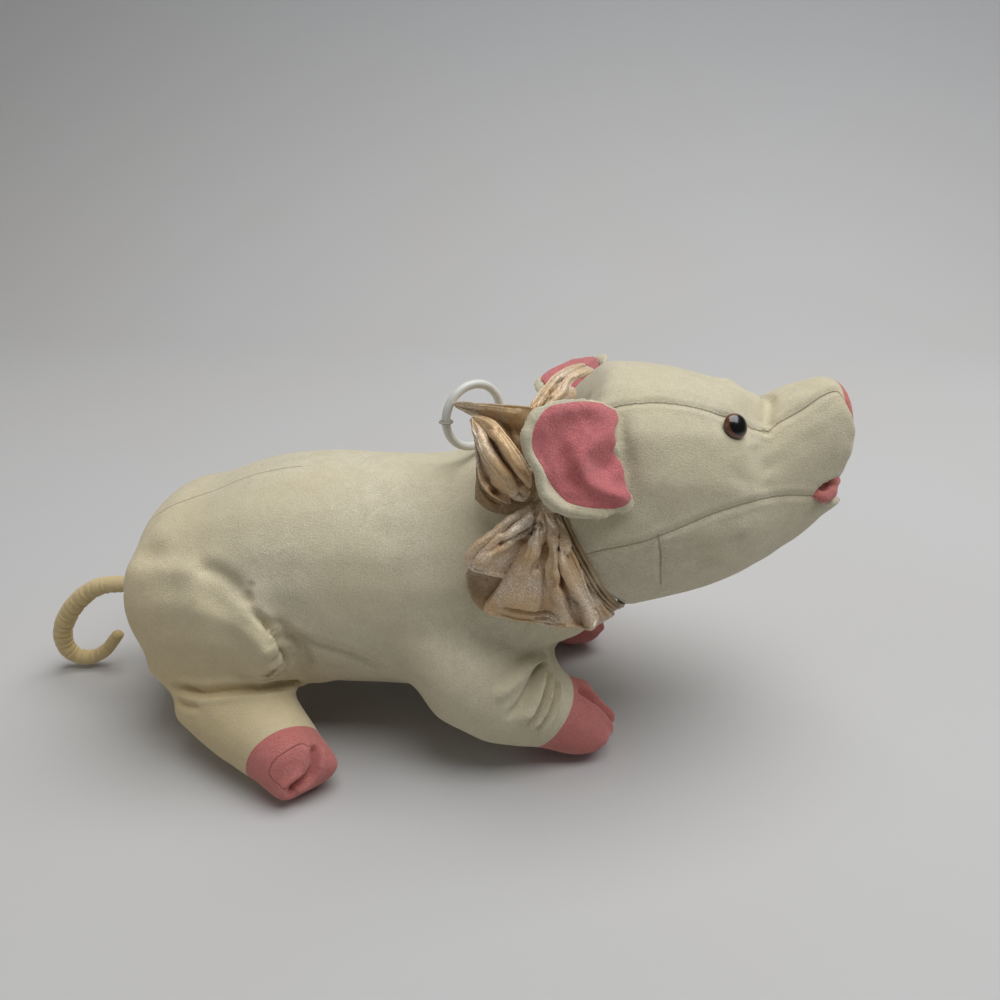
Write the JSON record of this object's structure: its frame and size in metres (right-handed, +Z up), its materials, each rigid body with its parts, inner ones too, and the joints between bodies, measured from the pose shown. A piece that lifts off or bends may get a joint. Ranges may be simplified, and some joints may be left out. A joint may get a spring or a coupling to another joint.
{
  "type": "stuffed toy",
  "caption": "Cream velour stuffed pig, crouching, with pink velour hooves, ear linings and snout, plastic button eyes, a gold ribbon bow, a ruched tail and a hanging ring.",
  "frame": {"origin": "on the floor, under the middle of the whole pig", "axes": "+X the way the snout points, +Y the pig's left, +Z up"},
  "size_m": [0.4036, 0.1898, 0.1804],
  "materials": {
    "cream_velour": "matte short pile velour",
    "pink_velour": "matte short pile velour",
    "gold_lame": "soft metallic sheen",
    "eye_plastic": "gloss",
    "white_plastic": "satin",
    "cream_thread": "matte"
  },
  "bodies": {
    "root": {"torso": "cream_velour", "belly_panel": "cream_velour", "ribbon_band": "gold_lame", "bow_knot": "gold_lame", "bow_loop_upper": "gold_lame", "bow_loop_lower": "gold_lame", "ring_thread": "cream_thread"},
    "head": {"head": "cream_velour", "snout_disc": "pink_velour", "mouth_lining": "pink_velour", "eye_right": "eye_plastic", "eye_left": "eye_plastic", "eye_washer_right": "white_plastic", "eye_washer_left": "white_plastic"},
    "ear_right": {"ear_right": "cream_velour", "ear_lining_right": "pink_velour"},
    "ear_left": {"ear_left": "cream_velour", "ear_lining_left": "pink_velour"},
    "front_leg_right": {"front_leg_right": "cream_velour", "front_hoof_right": "pink_velour"},
    "front_leg_left": {"front_leg_left": "cream_velour", "front_hoof_left": "pink_velour"},
    "hind_leg_right": {"hind_leg_right": "cream_velour", "hind_hoof_right": "pink_velour"},
    "hind_leg_left": {"hind_leg_left": "cream_velour", "hind_hoof_left": "pink_velour"},
    "tail": {"tail": "cream_velour"},
    "ring": {"hanging_ring": "white_plastic"}
  },
  "joints": [
    {"name": "neck_nod", "type": "hinge", "parent": "root", "child": "head", "pos_m": [0.08916, 0, 0.09794], "axis": [0, 1, 0], "range_deg": [-4, 8], "stiffness_Nm_per_rad": 3},
    {"name": "ear_flap_right", "type": "hinge", "parent": "head", "child": "ear_right", "pos_m": [0.0987, -0.04155, 0.15304], "axis": [-0.1527, 0.5265, 0.8364], "range_deg": [0, 40], "stiffness_Nm_per_rad": 0.04},
    {"name": "ear_flap_left", "type": "hinge", "parent": "head", "child": "ear_left", "pos_m": [0.0987, 0.0416, 0.15304], "axis": [0.1528, 0.5254, -0.837], "range_deg": [-10, 20], "stiffness_Nm_per_rad": 0.04},
    {"name": "shoulder_right", "type": "hinge", "parent": "root", "child": "front_leg_right", "pos_m": [0.00526, -0.02703, 0.074], "axis": [0, 1, 0], "range_deg": [-10, 10], "stiffness_Nm_per_rad": 2.5},
    {"name": "shoulder_left", "type": "hinge", "parent": "root", "child": "front_leg_left", "pos_m": [0.00526, 0.02703, 0.074], "axis": [0, 1, 0], "range_deg": [-10, 10], "stiffness_Nm_per_rad": 2.5},
    {"name": "hip_right", "type": "hinge", "parent": "root", "child": "hind_leg_right", "pos_m": [-0.08984, 0, 0.0797], "axis": [0, 1, 0], "range_deg": [-10, 10], "stiffness_Nm_per_rad": 2.5},
    {"name": "hip_left", "type": "hinge", "parent": "root", "child": "hind_leg_left", "pos_m": [-0.08984, 0, 0.0797], "axis": [0, 1, 0], "range_deg": [-10, 10], "stiffness_Nm_per_rad": 2.5},
    {"name": "tail_swing", "type": "hinge", "parent": "root", "child": "tail", "pos_m": [-0.13798, 0, 0.05633], "axis": [0, 0, 1], "range_deg": [-15, 15], "stiffness_Nm_per_rad": 0.03},
    {"name": "ring_swing", "type": "hinge", "parent": "root", "child": "ring", "pos_m": [0.02114, -0.01208, 0.1561], "axis": [0, 0, 1], "range_deg": [0, 40]}
  ]
}
